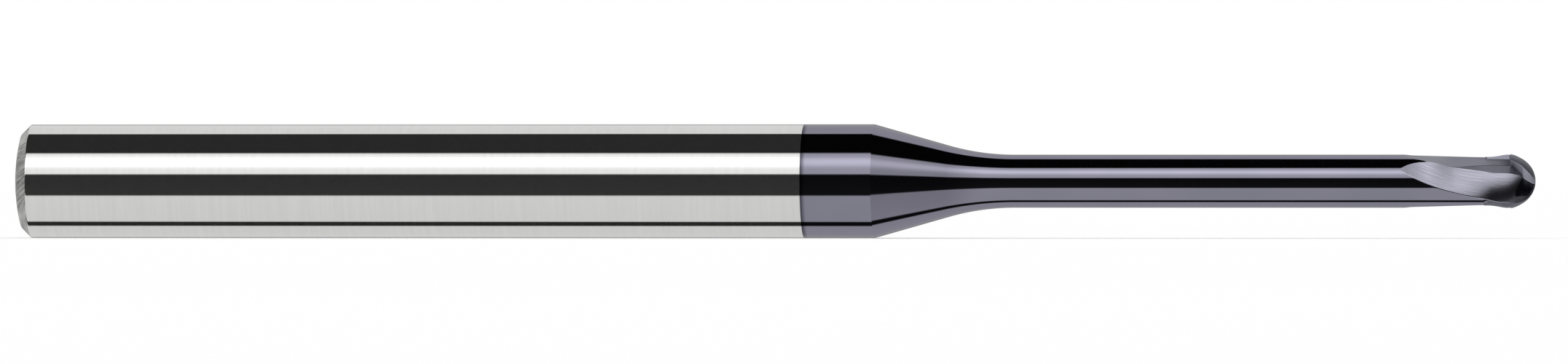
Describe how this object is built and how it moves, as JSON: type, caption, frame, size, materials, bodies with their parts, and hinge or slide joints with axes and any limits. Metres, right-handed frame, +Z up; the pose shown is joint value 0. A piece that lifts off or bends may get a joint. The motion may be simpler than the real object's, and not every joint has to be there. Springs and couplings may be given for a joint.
{
  "type": "end mill",
  "caption": "Miniature carbide ball-nose end mill: plain round shank, conical taper, long slim neck and short helical-fluted ball head, with a dark coating on the working end.",
  "frame": {"origin": "centre of the flat butt face, on the tool's axis", "axes": "+X along the tool's axis from the butt face to the ball tip, +Z up, with one tooth's rake facing -Y"},
  "size_m": [0.0425, 0.0032, 0.0032],
  "materials": {
    "ground_carbide": "coarse ground carbide with short slanting wheel marks",
    "bright_carbide": "centreless-ground and polished bare carbide, mirror bright",
    "coated_carbide": "glossy dark violet-grey hard coating over polished carbide",
    "coated_flutes": "violet-grey hard coating over ground flutes, fine lines along the helix"
  },
  "bodies": {
    "root": {"shank_rear_end": "ground_carbide", "bright_shank": "bright_carbide", "coated_shank": "coated_carbide", "neck_taper": "coated_carbide", "reach_neck": "coated_carbide", "flute_run_out": "coated_flutes", "ball_nose_head": "coated_flutes"}
  },
  "joints": []
}
